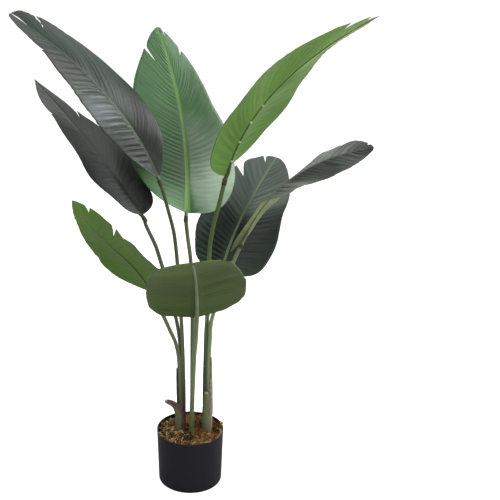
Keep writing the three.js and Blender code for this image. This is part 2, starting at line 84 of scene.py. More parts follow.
# The leaves, first as in the part: where the rib starts and ends, its bow and sway, the way the upper
# side faces and the twist from base to tip. Then for the left and right half: half width, how blunt it is
# at its root, how far the veins sweep towards the tip and where it begins. Point is how blunt both are at
# the tip, bend how late the veins bend. A lobe hangs back beside the base as [share of length,
# millimetres aside]. From parting on the halves stand apart by millimetres. Slim is the rib's radius past
# the base and at the tip. Trim widens or narrows a half from base to tip. Fold and curl are in degrees.
# Tears are [side, share, depth, opening, corners before and after, lean]. Foot, path and the radii are
# the stalk's.
# From slot on they are the looks. Colours are sRGB: core is the bright middle of the rib's stripe, partly
# its own light green and partly a painted highlight, and stem the stalk's top, middle and foot. The painted
# highlight colour and deep, the painted shade colour, take the painted light and shade that runs from base
# to tip of each half, 1 for painted highlight and -1 for painted shade. The painted spots are places of
# extra painted highlight above 0 and painted shade below 0, such as sheen on a half and the shadow in a
# crease, as [side, share, reach, long, wide, painted light]. Folded is how strongly a half is pleated.
# Three leaves show their under side to the front, so they aren't seen from above.
# Shine is the upper side's gloss, rim the margin's brightness, ragged how far and how often it wanders,
# and clips the places of small rings on the rib. Pleats are the spacing and height of the broad folds,
# below 0 for narrow ridges, and the height of the small ones. The ridge shading is how strongly the pleats'
# ridges are painted lighter and their valleys darker, as painted highlight and painted shade, and print how
# strongly streaks show, spread how far folds reach out, band the stripe's half width at base and tip, and
# waves the height of the margin's waves.
LEAVES = {}
LEAVES["upper_left"] = dict(
    base=(-73, -10, 791), tip=(-396, 50, 1148), bow=(44, 2, 5), facing=(-75, 70), twist=(-6, 10),
    width=(102, 92), root=(0.62, 0.62), point=0.42, sweep=((0.3, 0.2), (1.1, 1.8)), parting=(0.9, 4, 7),
    trim=((0.75, 0.95, 1.05, 1, 0.95, 1.2), (0.6, 0.95, 0.95, 0.95, 1.05, 1.35)),
    fold=((18, 14), (24, 4)), curl=((-30, 0), (-34, -18)),
    tears=((1, 0.755, 0.58, 0.016, 0.02, 0.05, -0.07), (-1, 0.74, 0.88, 0.008, 0, 0.04)), foot=(-16, 22),
    path=((-17, 22, 295), (-22, 20, 431), (-36, 6, 638), (-54, -3, 722)), end_radius=4.2,
    slot="leaf_dark", upper=(57, 66, 58), painted_highlight=(95, 102, 104), deep=(32, 36, 33), stripe=(74, 92, 66),
    under=(72, 84, 56), rib=(80, 96, 62), stem=((72, 82, 54), (84, 92, 62), (70, 58, 52)),
    painted_light=((-0.4, -0.9, 0, -0.4, -0.35, 0), (-0.6, -1, 0.15, 0.3, 0.05, -0.4)),
    painted_spots=((-1, 0.38, 0.6, 0.13, 0.4, 0.9), (-1, 0.1, 0.9, 0.1, 0.2, 0.9)),
    folded=((0.3, 1.1, 1.6, 1, 0.5, 0.3), (0.1, 0.1, 0.2, 1.2, 1.2, 0.4)), pleats=(18, 2.6, 0.12),
    ridge_shading=0.33, band=(2, 1.5), rough=0.4, waves=1.6,
)
LEAVES["middle_left"] = dict(
    base=(-113, 20, 692), tip=(-358, 90, 998), bow=(24, 7, -20), facing=(-50, 37), twist=(10, 0),
    width=(84, 80), root=(0.27, 0.42), point=0.96, sweep=((0.28, 0.5), (0.5, 0.8)),
    trim=((1.05, 0.9, 1.05, 0.95, 1.05, 2.3), (0.85, 0.74, 0.93, 0.94, 0.8, 0.65)),
    fold=((40, -8), (34, -8)), curl=((-28, -16), (-28, -16)),
    tears=((1, 0.585, 0.74, 0.008, 0, 0.1), (-1, 0.715, 0.92, 0.008, 0, 0.05)), foot=(-26, 33),
    path=((-24, 33, 333), (-35, 32, 425), (-79, 26, 604), (-104, 22, 666)), end_radius=4.4,
    slot="leaf_dark", upper=(58, 60, 58), painted_highlight=(112, 116, 111), deep=(28, 31, 29), stripe=(38, 44, 42),
    under=(66, 78, 52), rib=(70, 84, 56), stem=((80, 90, 66), (86, 94, 64), (78, 70, 58)),
    painted_light=((0, -1, -1, -0.1, 1, 1), (-0.8, -0.35, 0.4, 0.45, 1, 1)),
    painted_spots=((1, 0.1, 0.8, 0.14, 0.5, -0.5),),
    folded=((0.4, 0.9, 1, 0.8, 0.3, 0), (0.5, 1, 0.5, 0.3, 0.2, 0)), shine=0.2, pleats=(15, 1, 0.2),
    ridge_shading=0.15, print=0.12, spread=0.8, band=(1.6, 1), rough=0.52,
)
LEAVES["centre_back"] = dict(
    base=(-9, 60, 685), tip=(-79, 190, 1106), bow=(26, 40, -12), facing=(-74, 16), twist=(3, 14),
    width=(128, 120), root=(0.42, 0.32), point=0.6, sweep=((0.45, 1.3), (0.15, 1)), bend=1.5,
    trim=((1.3, 1.2, 1.1, 1.03, 1.07, 0.94), (1.05, 1.05, 1, 0.84, 0.82, 0.6)),
    fold=((24, -8), (24, -14)), curl=((-22, -15), (-20, -20)),
    tears=(
        (-1, 0.735, 0.66, 0.009, 0, 0.06), (1, 0.69, 0.86, 0.012, 0.03, 0.02),
        (1, 0.85, 0.8, 0.012, 0, 0.06),
    ),
    foot=(4, 2), path=((5, 14, 433), (1, 36, 572), (-7, 50, 635)), end_radius=4.4,
    slot="leaf_green", upper=(80, 118, 76), painted_highlight=(146, 166, 146), deep=(50, 80, 48),
    stripe=(108, 146, 80), under=(80, 110, 60), rib=(96, 126, 70), core=(156, 184, 130),
    stem=((86, 98, 62), (64, 76, 44), (58, 66, 40)),
    painted_light=((0, -0.95, -0.5, 0, 0, 0), (0.6, 1, 0.75, 0, 0, 0)),
    painted_spots=(
        (1, 0.48, 0.85, 0.2, 0.45, -0.75), (1, 0.03, 0.1, 0.05, 0.1, -1.3),
        (1, 0, 0.3, 0.025, 0.18, -1.5), (1, 0.09, 0.04, 0.05, 0.06, -1.2),
        (-1, 0.02, 0.05, 0.03, 0.06, -1), (-1, 0.03, 0.7, 0.08, 0.4, 0.2),
    ),
    folded=((1, 1, 0.8, 0.7, 0.6, 0.4), (0.2, 1.6, 1.2, 0.8, 0.6, 0.4)), pleats=(10.5, -0.9, 0.12),
    ridge_shading=0.15, print=0.16, spread=0.75, band=(8.5, 2.2), rough=0.42, waves=1.8,
)
LEAVES["upper_right"] = dict(
    base=(81, -20, 796), tip=(388, -90, 1153), bow=(-51, 6, 19), facing=(132, 30), twist=(6, 2),
    width=(100, 100), root=(0.5, 0.6), point=1.05, sweep=((0.7, 0.7), (0.7, 0.9)), begin=(0.06, 0),
    slim=(1.9, 1.1), trim=((0.92, 0.92, 1.03, 0.85, 0.5, 0.95), (1.25, 1.05, 0.89, 1.03, 0.95, 1.2)),
    fold=((18, 11), (16, 12)), curl=((-38, -20), (-34, -22)),
    tears=((1, 0.757, 0.62, 0.008, 0, 0.3, -0.022), (1, 0.9, 0.34, 0.01, 0, 0.25, -0.02)), foot=(41, 21),
    path=((41, 21, 304), (41, 18, 431), (46, 4, 612), (54, -4, 674), (68, -12, 733)), end_radius=5,
    slot="leaf_green", upper=(74, 100, 66), painted_highlight=(160, 180, 130), deep=(82, 114, 50),
    stripe=(90, 110, 70), under=(100, 136, 68), rib=(72, 84, 48),
    stem=((76, 92, 50), (92, 108, 66), (82, 72, 62)),
    painted_light=((0.4, 0, 0.15, 0.4, 0.8, 1), (-0.2, -0.5, 0.12, -0.05, 0.3, 1)),
    painted_spots=(
        (-1, 0.1, 0.5, 0.05, 0.5, -0.4), (-1, 0.5, 0.3, 0.05, 0.3, -0.5), (1, 0.5, 0.3, 0.06, 0.4, -0.4),
    ),
    folded=((0.2, 0.6, 1.2, 1.6, 1.2, 0.6), (0.2, 0.5, 1.2, 1, 0.4, 0.2)), seen_above=False, shine=0.1,
    clips=(0.085, 0.195, 0.31, 0.41), pleats=(17, 1.2, 0.15), ridge_shading=0.17, print=0.12, spread=0.9,
    band=(2, 1.2), rough=0.48, waves=1.4,
)
LEAVES["low_right"] = dict(
    base=(123, 0, 635), tip=(407, -40, 866), bow=(-37, -13, 43), facing=(-91, 75),
    twist=(-65, -62, -37, -10, 26), width=(60, 80), root=(0.5, 0.5), point=0.62,
    sweep=((0.5, 0.5), (0.4, 0.6)), bend=1.5, lobe=((0, 0), (0.06, 26)), slim=(2.2, 1.2),
    trim=((1.05, 1.05, 1.2, 0.47, 1.15, 1.4), (0.1, 0.25, 0.8, 0.82, 0.9, 0.7)),
    fold=((23, 8, -7), (-4, -24, -13)), curl=((12, 4, -6), (-14, -15, -6)),
    tears=((-1, 0.72, 0.85, 0.008, 0, 0.08), (-1, 0.94, 0.78, 0.012, 0.02, 0.03)), foot=(46, 8),
    path=((46, 8, 310), (48, 7, 370), (53, 6, 437), (103, 2, 585)), end_radius=4.6,
    slot="leaf_dark", upper=(84, 90, 84), painted_highlight=(168, 170, 168), deep=(38, 44, 38), stripe=(66, 78, 62),
    under=(126, 138, 96), rib=(96, 108, 78), stem=((96, 106, 72), (114, 128, 84), (108, 108, 84)),
    painted_light=((0, -0.2, 0.5, 1, 0.33, -0.5), (-0.8, 0.2, 0.5, -0.5, -0.1, -1)),
    folded=((0.1, 0.2, 0.5, 0.6, 0.6, 0.3), (0.1, 0.2, 1, 1.8, 1.8, 0.8)), pleats=(17, 2.2, 0.2),
    ridge_shading=0.28, band=(1.6, 1.2), rough=0.46,
)
LEAVES["back_right"] = dict(
    base=(77, 60, 535), tip=(217, 220, 784), bow=(-22, -18, -8), facing=(-115, 40), twist=(6, -6),
    width=(106, 110), root=(0.39, 0.25), point=0.5, sweep=((0.6, 1), (0.5, 0.9)),
    lobe=((0, 0), (0.012, 0)), trim=((1, 0.93, 1, 1.05, 1.32, 1.4), (1, 1, 1.03, 1.01, 1.15, 1.12)),
    fold=((17, 0), (13, 4)), curl=((-27, -9), (-27, -9)),
    tears=((-1, 0.69, 0.62, 0.026, 0, 0.07), (-1, 0.889, 0.59, 0.012, 0, 0.06)), foot=(36, 33),
    path=((38, 34, 333), (42, 42, 421), (58, 50, 474)), end_radius=4.6,
    slot="leaf_dark", upper=(48, 58, 51), painted_highlight=(92, 105, 95), deep=(24, 30, 26), stripe=(112, 134, 96),
    under=(66, 78, 52), rib=(80, 92, 62), stem=((90, 100, 66), (60, 66, 46), (62, 58, 46)),
    painted_light=((0.1, -0.1, -0.1, 0.9, 0.9, 0.9), (0.1, -0.55, -1, 0.95, 0.75, 0.9)),
    folded=((2.2, 2.2, 1.2, 0.6, 0.5, 0.2), (0.2, 0.3, 0.5, 0.8, 0.6, 0.3)), pleats=(13, 1.5, 0.2),
    ridge_shading=0.34, print=0.12, spread=0.98, band=(3.4, 2.2), rough=0.36,
)
LEAVES["low_left"] = dict(
    base=(-95, -60, 532), tip=(-245, -190, 787), bow=(8, -14, -1), sway=(7, 0, 4), facing=(60, 60),
    twist=(0, 0), width=(86, 92), root=(0.47, 0.47), point=0.8, sweep=((0.4, 0.6), (0.4, 0.6)),
    slim=(2.2, 1.3), trim=((1, 1.05, 1, 1.2, 1.6, 1.7), (1.1, 1.1, 1.1, 1.05, 0.9, 0.75)),
    fold=((9, 8), (9, 9)), curl=((-20, -15), (-24, -13)),
    tears=(
        (-1, 0.595, 0.5, 0.013, 0, 0.12, 0.03), (-1, 0.818, 0.7, 0.012, 0, 0.08, 0.015),
        (1, 0.7, 0.82, 0.006, 0, 0.06),
    ),
    foot=(-27, 12), path=((-27, 8, 310), (-34, -2, 369), (-49, -16, 415), (-65, -30, 460)),
    end_radius=4.4,
    slot="leaf_green", upper=(62, 84, 50), painted_highlight=(104, 140, 58), deep=(66, 96, 34), stripe=(90, 110, 68),
    under=(84, 118, 44), rib=(92, 104, 68), stem=((88, 100, 62), (92, 102, 66), (80, 82, 60)),
    painted_light=((0.6, 0.6, 0.2, 0.1, 0.4, 1), (0, 0.1, 0.1, 0.15, 0.8, 1)), seen_above=False, shine=0.12,
    ragged=(0.025, 9), pleats=(12, 0.5, 0.14), ridge_shading=0.08, spread=0.9, band=(2, 1.2), waves=2.6,
)
LEAVES["front"] = dict(
    base=(14.5, -130, 495.5), tip=(4, -440, 738), bow=(3, 17, 10), facing=(96, 50), twist=(3, 2),
    width=(104, 104), root=(0.15, 0.14), point=0.25, sweep=((0.4, 0.3), (0.4, 0.3)), slim=(4.3, 2.2),
    trim=((0.92, 1.06, 1.03, 0.96, 0.93, 1.05), (1, 1.04, 1.03, 1, 1.03, 1.15)), fold=((14, 1), (14, 0)),
    curl=((-15, -8), (-15, -8)),
    tears=((1, 0.85, 0.75, 0.012, 0.03, 0.03), (-1, 0.9, 0.8, 0.045, 0.03, 0.03)), foot=(3, -20),
    path=((5, -36, 240), (9, -72, 370), (12, -96, 425)), foot_radius=5.5, end_radius=5.8,
    slot="leaf_olive", upper=(58, 72, 44), painted_highlight=(82, 98, 50), deep=(46, 58, 26), stripe=(86, 98, 64),
    under=(63, 79, 34), rib=(92, 106, 62), stem=((96, 106, 76), (94, 106, 70), (76, 94, 48)),
    painted_light=((-0.1, 0.15, -0.25, 0.15, 0.5, 1), (-0.3, 0.2, -0.15, 0.4, 1, 1)), seen_above=False, shine=0.06,
    rim=1.5, ragged=(0.006, 22), pleats=(6.4, 0.8, 0.15), ridge_shading=0.5, band=(2.6, 1.6), waves=1.8,
)
LEAF_DEFAULTS = dict(
    sway=(0, 0, 0), begin=(0, 0), bend=1.1, lobe=((0, 0), (0, 0)), foot_radius=5,
    painted_spots=(), folded=((1, 1, 1, 1, 1, 0.5), (1, 1, 1, 1, 1, 0.5)), seen_above=True, shine=0.26, rim=0.8,
    ragged=(0, 1), print=0.1, spread=0.95, rough=0.5, waves=1.5,
)
LEAVES = {name: LEAF_DEFAULTS | leaf for name, leaf in LEAVES.items()}


# Colours and numbers
def linear(colour):
    """An sRGB colour of 0 to 255 as the linear RGBA that a shader takes."""
    parts = [c / 255 for c in colour]
    return [p / 12.92 if p <= 0.04045 else ((p + 0.055) / 1.055) ** 2.4 for p in parts] + [1.0]


def unit(vectors):
    return vectors / np.maximum(np.linalg.norm(vectors, axis=-1, keepdims=True), 1e-9)


def smooth_step(low, high, value):
    part = np.clip((value - low) / (high - low), 0, 1)
    return part * part * (3 - 2 * part)


def mix(a, b, share):
    return a + (b - a) * share


def wander(seed, knots, share):
    """A smooth random curve between -1 and 1 over a share of 0 to 1."""
    values = np.random.default_rng(int(seed)).uniform(-1, 1, knots + 1)
    place = np.clip(share, 0, 1) * (knots - 1e-6)
    step = place.astype(int)
    return mix(values[step], values[step + 1], smooth_step(0, 1, place - step))


def along(values, share):
    """A value along the length, from evenly spaced values joined by smooth steps, or two by a line."""
    values = np.asarray(values, float)
    last = len(values) - 1
    place = np.clip(share, 0, 1) * last
    step = np.minimum(place.astype(int), last - 1)
    part = place - step
    return mix(values[step], values[step + 1], part if last == 1 else smooth_step(0, 1, part))


def turns(sides):
    """The angles of evenly spaced points round a circle."""
    return np.arange(sides) * 2 * math.pi / sides


# Meshes
def in_scene(name, data):
    thing = bpy.data.objects.new(name, data)
    bpy.context.scene.collection.objects.link(thing)
    return thing


def add_piece(name, points, faces, materials, chosen=None, flat=None, uv=None, attributes=None):
    """A mesh object from points in millimetres; chosen is the material of each face."""
    mesh = bpy.data.meshes.new(name)
    mesh.from_pydata((points * MM).tolist(), [], [list(face) for face in faces])
    smooth = np.ones(len(faces), bool) if flat is None else ~flat
    mesh.polygons.foreach_set("use_smooth", smooth)
    for material in materials:
        mesh.materials.append(material)
    if chosen is not None:
        mesh.polygons.foreach_set("material_index", np.asarray(chosen, np.int32))
    if uv is not None:
        corners = np.zeros(len(mesh.loops), np.int32)
        mesh.loops.foreach_get("vertex_index", corners)
        layer = mesh.uv_layers.new(name="UVMap")
        layer.data.foreach_set("uv", uv[corners].astype(np.float32).ravel())
    for key, values in (attributes or {}).items():
        layer = mesh.attributes.new(key, "FLOAT", "POINT")
        layer.data.foreach_set("value", np.asarray(values, np.float32))
    mesh.update()
    return in_scene(name, mesh)


def grid_quads(rows, columns, closed=True):
    """Quads between rows of points. In a closed grid the last column also meets the first."""
    column = np.arange(columns if closed else columns - 1)
    following = (column + 1) % columns
    row = np.arange(rows - 1)[:, None] * columns
    above = row + columns
    return np.stack([row + column, row + following, above + following, above + column], -1).reshape(-1, 4)


def end_caps(rows, sides):
    """Triangles that close rings of points with the two points that follow them."""
    first = rows * sides
    top = first - sides
    caps = [[first, (a + 1) % sides, a] for a in range(sides)]
    return caps + [[first + 1, top + a, top + (a + 1) % sides] for a in range(sides)]


def triangles_of(quads):
    """Two triangles a quad, without those that have a corner twice."""
    faces = np.concatenate([quads[:, [0, 1, 2]], quads[:, [0, 2, 3]]])
    a, b, c = faces.T
    return faces[(a != b) & (b != c) & (a != c)]


def vertex_normals(points, faces):
    a, b, c = (points[faces[:, k]] for k in range(3))
    areas = np.cross(b - a, c - a)
    normals = np.zeros_like(points)
    for k in range(3):
        np.add.at(normals, faces[:, k], areas)
    return unit(normals)


def tube(centres, radii, sides, hint, squeeze=1.0):
    """A closed tube through centres; radii is one for each centre, or one for each centre and side."""
    centres = np.asarray(centres, float)
    count = len(centres)
    ahead = unit(np.gradient(centres, axis=0))
    side = np.zeros_like(centres)
    last = np.asarray(hint, float)
    for i in range(count):
        last = last - ahead[i] * (last @ ahead[i])
        last = last / np.linalg.norm(last)
        side[i] = last
    other = np.cross(ahead, side)
    angle = turns(sides)
    radii = np.reshape(radii, (count, -1))
    points = (
        centres[:, None]
        + side[:, None] * (np.cos(angle) * radii)[..., None]
        + other[:, None] * (np.sin(angle) * radii * np.reshape(squeeze, (-1, 1)))[..., None]
    ).reshape(-1, 3)
    faces = triangles_of(grid_quads(count, sides)).tolist() + end_caps(count, sides)
    return np.concatenate([points, centres[[0, -1]]]), faces


def joined(parts):
    """Several (points, faces) as one."""
    points, faces, offset = [], [], 0
    for part_points, part_faces in parts:
        points.append(np.asarray(part_points))
        faces.extend((np.asarray(part_faces) + offset).tolist())
        offset += len(part_points)
    return np.concatenate(points), faces


# Leaf shape
def rib_frame(leaf, share):
    """The rib at shares of its length: points, directions, upper sides and right sides."""
    share = np.asarray(share, float)
    base, tip, bow = (np.array(leaf[key], float) for key in ("base", "tip", "bow"))
    line = tip - base
    part = share[..., None]
    sway = np.array(leaf["sway"], float) * SWAY_SHARE
    point = base + line * part + bow * (4 * part * (1 - part)) + sway * (part * (1 - part) * (1 - 2 * part))
    ahead = unit(line + bow * (4 * (1 - 2 * part)) + sway * (1 - 6 * part + 6 * part**2))
    turn, rise = np.radians(leaf["facing"])
    facing = np.array([math.cos(rise) * math.cos(turn), math.cos(rise) * math.sin(turn), math.sin(rise)])
    up = unit(facing - ahead * (ahead @ facing)[..., None])
    right = np.cross(ahead, up)
    twist = np.radians(along(leaf["twist"], share))[..., None]
    turned_up = up * np.cos(twist) + right * np.sin(twist)
    return point, ahead, turned_up, right * np.cos(twist) - up * np.sin(twist)


def outline(leaf, share, half):
    """How wide a half is at a share of its length: 1 at its widest, times its own trim."""
    root, point = leaf["root"][half], leaf["point"]
    peak = root / (root + point)
    first = leaf["begin"][half]
    share = np.clip((share - first) / (1 - first), 0, 1)
    whole = share**root * (1 - share) ** point / (peak**root * (1 - peak) ** point)
    return whole * along(leaf["trim"][half], share)


def blade_points(leaf, start, reach, half):
    """Points of the blade: start is where a vein leaves the rib, reach runs from rib to margin."""
    start = np.clip(start, 0, 1)
    margin_share = 1 - (1 - start) ** (1 + along(leaf["sweep"][half], start))
    width = leaf["width"][half]
    widest = np.maximum(width * outline(leaf, margin_share, half), LEAST_WIDTH * (margin_share < 0.5))
    across = widest * reach
    share = start + (margin_share - start) * np.abs(reach) ** leaf["bend"]
    back, aside = leaf["lobe"][half]
    near_base = (1 - smooth_step(0, LOBE_REACH, start)) * np.abs(reach)
    share = share - back * near_base
    across = across + aside * near_base
    if "parting" in leaf:
        first, *apart = leaf["parting"]
        across = across + apart[half] * np.clip((start - first) / (1 - first), 0, 1) * (1 - np.abs(reach))
    fold = np.radians(along(leaf["fold"][half], share))
    curl = np.radians(along(leaf["curl"][half], share)) + 1e-6
    aside = (width / curl) * (np.sin(fold + curl * across / width) - np.sin(fold))
    lift = -(width / curl) * (np.cos(fold + curl * across / width) - np.cos(fold))
    point, _, up, right = rib_frame(leaf, share)
    return point + right * ((2 * half - 1) * aside)[..., None] + up * lift[..., None], across


def leaf_length(leaf):
    return float(np.linalg.norm(np.subtract(leaf["tip"], leaf["base"])))


def half_blade(leaf, side):
    """One half of a blade as two copies of a grid: what the cells before and after each column use."""
    share = np.linspace(0, 1, COLUMNS + 1)
    starts = mix(share, (1 - np.cos(math.pi * share)) / 2, 0.45)
    torn = []
    for tear_side, place, depth, opening, before, after, *lean in leaf["tears"]:
        if tear_side == side:
            column = int(np.argmin(np.abs(starts - place)))
            starts[column] = place
            torn.append((column, place, depth, opening, before, after, sum(lean)))
    rows = np.linspace(0, 1, ROWS + 1) ** 1.15
    start, reach = np.meshgrid(starts, rows, indexing="ij")
    copies = []
    for copy in (-1, 1):
        moved_start, moved_reach = start.copy(), reach.copy()
        for column, place, depth, opening, before, after, lean in torn:
            away = start - place
            which = np.where(np.abs(away) < 1e-9, copy, np.sign(away))
            open_share = np.clip((reach - depth) / (1 - depth), 0, 1)
            moved_start += which * opening * open_share * np.exp(-np.abs(away) / 0.05)
            moved_start += lean * open_share * np.exp(-np.abs(away) / (0.03 + 2 * abs(lean)))
            corner = np.where(which < 0, before, after)
            moved_reach -= corner * np.exp(-np.abs(away) / (0.012 + 0.1 * corner)) * reach**4
        copies.append((moved_start, moved_reach))
    split = np.zeros(start.shape, bool)
    for column, place, depth, *_ in torn:
        split[column] = rows > depth
    return starts, copies, split


def relief(name, leaf, start, reach, half):
    """How far pleats and margin stand off the plain blade, and how much of a ridge a point is."""
    seed = sum(name.encode()) + (50 if half else 0)
    spacing, height, little = leaf["pleats"]
    count = leaf_length(leaf) / spacing
    phase = start * count + 0.55 * wander(seed, 14, start) + 0.12 * wander(seed + 1, 40, start)
    ridge = math.copysign(1, height) * (1 - 1.9 * np.abs(np.cos(math.pi * phase)) ** 3)
    strength = 0.55 + 0.45 * wander(seed + 2, 12, start)
    folds_end = smooth_step(leaf["spread"] * 0.6, leaf["spread"], reach)
    fade = smooth_step(0.02, 0.2, reach) * (1 - folds_end * 0.75)
    ends = smooth_step(0, 0.08, start) * smooth_step(1, 0.9, start)
    folded = along(leaf["folded"][half], start)
    pleat = abs(height) * folded * strength * fade * ridge * ends
    small = little * np.cos(2 * math.pi * phase * 2.5) * fade * ends
    wave = wander(seed + 3, 11, start) + 0.4 * wander(seed + 4, 26, start)
    stand = pleat + small + leaf["waves"] * reach**3 * wave * ends
    # The second value is painted highlight on the pleats' ridges and painted shade in their valleys
    return stand, ridge * strength * fade * ends * (0.25 + 0.75 * folded)


def blade_surface(name, leaf):
    """The whole blade as one sheet: points, triangles and what the material needs at each point."""
    values, triangles = [], []
    rag, knots = leaf["ragged"]
    for half, side in enumerate((-1, 1)):
        starts, copies, split = half_blade(leaf, side)
        both = []
        for start, reach in copies:
            reach = reach * (1 + rag * reach**6 * wander(sum(name.encode()) + side + 60, knots, start))
            place, across = blade_points(leaf, start, reach, half)
            inner_start, inner_reach = np.clip(start, 0.01, 0.985), np.clip(reach, 0.02, 1)
            near = []
            for step_start, step_reach in ((1, 0), (-1, 0), (0, 1), (0, -1)):
                moved = inner_start + step_start * NORMAL_STEP, inner_reach + step_reach * NORMAL_STEP
                near.append(blade_points(leaf, *moved, half)[0])
            normal = unit(np.cross(near[2] - near[3], near[0] - near[1]) * side)
            stand, ridge = relief(name, leaf, start, reach, half)
            # Painted light and shade along the half from base to tip, with painted spots of highlight and
            # of shade, such as sheen and the shadow in a crease
            painted_light = along(leaf["painted_light"][half], start)
            for mark_side, at, out, long, wide, more in leaf["painted_spots"]:
                if mark_side == side:
                    painted_light = painted_light + more * np.exp(-(((start - at) / long) ** 2) - ((reach - out) / wide) ** 2)
            groove = 0.9 * np.exp(-((across / 5.0) ** 2)) * smooth_step(0, 0.04, start)
            place = place + normal * (stand - groove)[..., None]
            facts = np.stack([start, side * reach, side * across, ridge, painted_light], -1)
            both.append(np.concatenate([place, facts], -1))
        before = np.arange(split.size).reshape(split.shape)
        after = before.copy()
        after[split] = split.size + np.arange(split.sum())
        for index in (before, after):
            if not any(leaf["lobe"][half]):
                index[0, :] = before[0, 0]
            index[-1, :] = before[-1, 0]
        corners = [after[:-1, :-1], after[:-1, 1:], before[1:, 1:], before[1:, :-1]]
        quads = np.stack(corners, -1).reshape(-1, 4)
        values.append(np.concatenate([both[0].reshape(split.size, -1), both[1][split]]))
        if half:
            together = before[starts <= leaf.get("parting", (1,))[0], 0]
            moved = np.arange(len(values[1])) + len(values[0])
            moved[together] = together
            quads = moved[quads]
        else:
            quads = quads[:, ::-1]
        triangles.append(triangles_of(quads))
    used, triangles = np.unique(np.concatenate(triangles), return_inverse=True)
    points, facts = np.split(np.concatenate(values)[used], [3], -1)
    return points, triangles.reshape(-1, 3), facts


def thick_sheet(points, triangles, thickness):
    """A sheet with both sides and a rim. Returns points, faces and 0, 1 or 2 for upper, under and rim."""
    normals = vertex_normals(points, triangles)
    count = len(points)
    upper = points + normals * thickness / 2
    under = points - normals * thickness / 2
    edges = np.concatenate([triangles[:, [0, 1]], triangles[:, [1, 2]], triangles[:, [2, 0]]])
    rim = edges[~np.isin(edges @ [count, 1], edges @ [1, count])]
    a, b = rim.T
    rim_faces = np.concatenate([np.stack([a, a + count, b + count], -1), np.stack([a, b + count, b], -1)])
    faces = np.concatenate([triangles, triangles[:, ::-1] + count, rim_faces])
    kind = np.repeat([0, 1, 2], [len(triangles), len(triangles), len(rim_faces)])
    return np.concatenate([upper, under]), faces, kind


# The rib under the blade
def rib_radius(leaf, share):
    thick = leaf["end_radius"]
    if "slim" in leaf:
        near, far = leaf["slim"]
        return mix(thick, mix(near, far, np.clip(share, 0, 1)), smooth_step(RIB_START, 0.1, share))
    return mix(thick, 1.3, np.clip(share, 0, 1) ** 0.75)


def rib_centres(leaf, share):
    point, ahead, up, _ = rib_frame(leaf, share)
    sink = 2 * np.clip((share + 0.01) / 0.15, 0, 1)
    deeper = mix(sink, rib_radius(leaf, share) * 0.85 + 0.4, smooth_step(RIB_START, 0.035, share))
    return point - up * deeper[..., None], ahead


def clip_rings(leaf, shares):
    """Small rings that hold the blade to its rib."""
    rings = []
    for share in shares:
        centres, _ = rib_centres(leaf, share + np.array([-0.005, -0.0035, 0.0035, 0.005]))
        radius = rib_radius(leaf, share) + np.array([0.3, 1.1, 1.1, 0.3])
        rings.append(tube(centres, radius, CLIP_SIDES, rib_frame(leaf, np.array([share]))[3][0]))
    return joined(rings)


def rib_tube(leaf):
    share = np.linspace(RIB_START, leaf.get("parting", (RIB_END,))[0], RIB_STEPS)
    centres, _ = rib_centres(leaf, share)
    radius = rib_radius(leaf, share)
    radius[-1] *= 0.4
    grooves = 1 + 0.03 * np.cos(turns(RIB_SIDES) * 7)
    return tube(centres, radius[:, None] * grooves, RIB_SIDES, rib_frame(leaf, share[:1])[3][0])


# Stalks
def stalk_centres(leaf, share):
    """A smooth line from the foot through the path, upright at the foot and along the rib at its end."""
    centres, ahead = rib_centres(leaf, np.array([RIB_START]))
    top = centres[0] - ahead[0] * GAP
    knots = np.array([(*leaf["foot"], BED_TOP + 1), *leaf["path"], top], float)
    place = np.concatenate([[0], np.cumsum(np.linalg.norm(np.diff(knots, axis=0), axis=1))])
    middle = (knots[2:] - knots[:-2]) / (place[2:] - place[:-2])[:, None]
    slopes = np.concatenate([[(0, 0, 1)], middle, ahead])
    where = np.clip(share, 0, 1) * place[-1]
    step = np.clip(np.searchsorted(place, where, "right") - 1, 0, len(place) - 2)
    span = (place[step + 1] - place[step])[:, None]
    t = (where - place[step])[:, None] / span
    start = knots[step] * (1 + 2 * t) * (1 - t) ** 2 + slopes[step] * span * t * (1 - t) ** 2
    return start + knots[step + 1] * t**2 * (3 - 2 * t) + slopes[step + 1] * span * t**2 * (t - 1)


def stalk_tube(name, leaf):
    share = np.linspace(0, 1, STALK_STEPS)
    foot = np.array([[*leaf["foot"], height] for height in BURIED_HEIGHTS])
    centres = np.concatenate([foot, stalk_centres(leaf, share)])
    share = np.concatenate([[0, 0], share])
    radius = mix(leaf["foot_radius"], leaf["end_radius"], share)
    seed = sum(name.encode())
    angle = turns(STALK_SIDES)
    turn = 0.8 * wander(seed, 3, share)[:, None]
    grooves = 1 + 0.035 * np.cos(5 * (angle + turn)) + 0.02 * np.cos(10 * angle + seed)
    swell = 1 + 0.04 * wander(seed + 5, 9, share)
    return tube(centres, radius[:, None] * grooves * swell[:, None], STALK_SIDES, (1, 0, 0))


# The collar's rings as [millimetres along the stalk, share of its end radius, millimetres more]
COLLAR_RINGS = [
    (-13.5, 0.98, 0), (-13, 1, 0.7), (-11, 1, 0.9), (-10.4, 1, 0.2), (-9.8, 1, 1.2), (-7, 1, 0.5),
    (-6.4, 1, 1.2), (-4, 1, 0.2), (-3.4, 1, 1.1), (-1, 1, 0.4), (0, 1, 1), (3, 0.9, 0),
]


def collar_tube(name, leaf):
    """The sleeve that joins a stalk to its leaf, with a ragged end."""
    centres, ahead = rib_centres(leaf, np.array([RIB_START]))
    back, share, more = np.array(COLLAR_RINGS).T[..., None]
    rng = np.random.default_rng(sum(name.encode()) + 9)
    radii = leaf["end_radius"] * share + more + rng.uniform(-0.5, 0.4, (len(COLLAR_RINGS), STALK_SIDES))
    return tube(centres[0] - ahead[0] * GAP + ahead[0] * back, radii, STALK_SIDES, (1, 0, 0))


